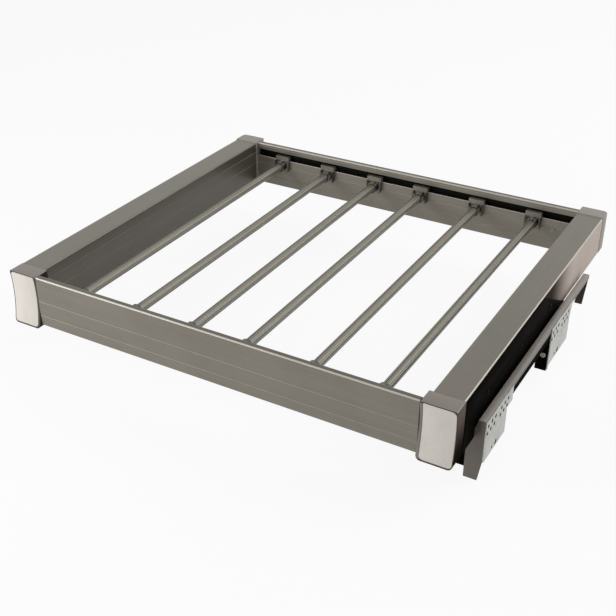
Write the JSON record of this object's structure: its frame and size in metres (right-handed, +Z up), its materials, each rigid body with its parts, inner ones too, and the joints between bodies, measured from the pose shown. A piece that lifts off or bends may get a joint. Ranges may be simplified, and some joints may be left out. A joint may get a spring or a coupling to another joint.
{
  "type": "pull out trouser rack",
  "caption": "Shallow rectangular frame of aluminium rails with round hanging bars that slide on clips, pulled out of a wardrobe on two ball-bearing slides.",
  "frame": {"origin": "under the middle of the rack, at the level of the carriers' front flange feet", "axes": "+X to the right across the rack, +Y to the back of the wardrobe, +Z up"},
  "size_m": [0.564, 0.4876, 0.112],
  "materials": {
    "rail": "bronze-grey anodised, satin",
    "front_cap": "satin grey-brown",
    "rear_cap": "satin warm grey",
    "inlay": "pale champagne satin",
    "screw": "zinc plated",
    "black_screw": "black oxide",
    "bar": "bronze-grey anodised, satin",
    "clip": "moulded grey-brown",
    "slide": "black",
    "bumper": "black nylon",
    "guard": "black moulded",
    "cage": "thin zinc plated sheet",
    "ball": "polished steel",
    "carrier": "grey-brown powder coat",
    "plate": "zinc plated sheet"
  },
  "bodies": {
    "cabinet_side": {"right_cabinet_member": "slide", "right_rear_bumper": "bumper", "right_carrier": "carrier", "right_slide_guard": "guard", "right_front_plate": "plate", "right_rear_plate": "plate", "right_carrier_rivets": "screw", "left_cabinet_member": "slide", "left_rear_bumper": "bumper", "left_carrier": "carrier", "left_slide_guard": "guard", "left_front_plate": "plate", "left_rear_plate": "plate", "left_carrier_rivets": "screw", "guard_screws": "screw"},
    "frame": {"front_rail": "rail", "rear_rail": "rail", "right_side_rail": "rail", "front_right_cap": "front_cap", "rear_right_cap": "rear_cap", "front_right_inlay": "inlay", "left_side_rail": "rail", "front_left_cap": "front_cap", "rear_left_cap": "rear_cap", "front_left_inlay": "inlay", "front_rail_screws": "screw", "rear_rail_screws": "screw", "side_rail_screws": "screw", "right_drawer_member": "slide", "right_drawer_screws": "black_screw", "left_drawer_member": "slide", "left_drawer_screws": "black_screw"},
    "right_middle": {"right_middle_member": "slide"},
    "right_outer_race": {"right_outer_cage": "cage", "right_outer_balls": "ball"},
    "right_inner_race": {"right_inner_cage": "cage", "right_inner_balls": "ball"},
    "left_middle": {"left_middle_member": "slide"},
    "left_outer_race": {"left_outer_cage": "cage", "left_outer_balls": "ball"},
    "left_inner_race": {"left_inner_cage": "cage", "left_inner_balls": "ball"},
    "hanging_bar_1": {"bar_1": "bar", "bar_1_front_clip": "clip", "bar_1_rear_clip": "clip"},
    "hanging_bar_2": {"bar_2": "bar", "bar_2_front_clip": "clip", "bar_2_rear_clip": "clip"},
    "hanging_bar_3": {"bar_3": "bar", "bar_3_front_clip": "clip", "bar_3_rear_clip": "clip"},
    "hanging_bar_4": {"bar_4": "bar", "bar_4_front_clip": "clip", "bar_4_rear_clip": "clip"},
    "hanging_bar_5": {"bar_5": "bar", "bar_5_front_clip": "clip", "bar_5_rear_clip": "clip"},
    "hanging_bar_6": {"bar_6": "bar", "bar_6_front_clip": "clip", "bar_6_rear_clip": "clip"}
  },
  "joints": [
    {"name": "pull_out", "type": "slide", "parent": "cabinet_side", "child": "frame", "axis": [0, -1, 0], "range_m": [0, 0.265]},
    {"name": "right_middle_travel", "type": "slide", "parent": "cabinet_side", "child": "right_middle", "axis": [0, -1, 0], "range_m": [0, 0.1325]},
    {"name": "right_outer_race_travel", "type": "slide", "parent": "cabinet_side", "child": "right_outer_race", "axis": [0, -1, 0], "range_m": [0, 0.06625]},
    {"name": "right_inner_race_travel", "type": "slide", "parent": "cabinet_side", "child": "right_inner_race", "axis": [0, -1, 0], "range_m": [0, 0.19875]},
    {"name": "left_middle_travel", "type": "slide", "parent": "cabinet_side", "child": "left_middle", "axis": [0, -1, 0], "range_m": [0, 0.1325]},
    {"name": "left_outer_race_travel", "type": "slide", "parent": "cabinet_side", "child": "left_outer_race", "axis": [0, -1, 0], "range_m": [0, 0.06625]},
    {"name": "left_inner_race_travel", "type": "slide", "parent": "cabinet_side", "child": "left_inner_race", "axis": [0, -1, 0], "range_m": [0, 0.19875]},
    {"name": "bar_1_slide", "type": "slide", "parent": "frame", "child": "hanging_bar_1", "axis": [1, 0, 0], "range_m": [-0.015, 0.015]},
    {"name": "bar_2_slide", "type": "slide", "parent": "frame", "child": "hanging_bar_2", "axis": [1, 0, 0], "range_m": [-0.015, 0.015]},
    {"name": "bar_3_slide", "type": "slide", "parent": "frame", "child": "hanging_bar_3", "axis": [1, 0, 0], "range_m": [-0.015, 0.015]},
    {"name": "bar_4_slide", "type": "slide", "parent": "frame", "child": "hanging_bar_4", "axis": [1, 0, 0], "range_m": [-0.015, 0.015]},
    {"name": "bar_5_slide", "type": "slide", "parent": "frame", "child": "hanging_bar_5", "axis": [1, 0, 0], "range_m": [-0.015, 0.015]},
    {"name": "bar_6_slide", "type": "slide", "parent": "frame", "child": "hanging_bar_6", "axis": [1, 0, 0], "range_m": [-0.015, 0.015]}
  ],
  "couplings": [
    {"joint": "right_middle_travel", "follows": "pull_out", "ratio": 0.5},
    {"joint": "right_outer_race_travel", "follows": "pull_out", "ratio": 0.25},
    {"joint": "right_inner_race_travel", "follows": "pull_out", "ratio": 0.75},
    {"joint": "left_middle_travel", "follows": "pull_out", "ratio": 0.5},
    {"joint": "left_outer_race_travel", "follows": "pull_out", "ratio": 0.25},
    {"joint": "left_inner_race_travel", "follows": "pull_out", "ratio": 0.75}
  ]
}
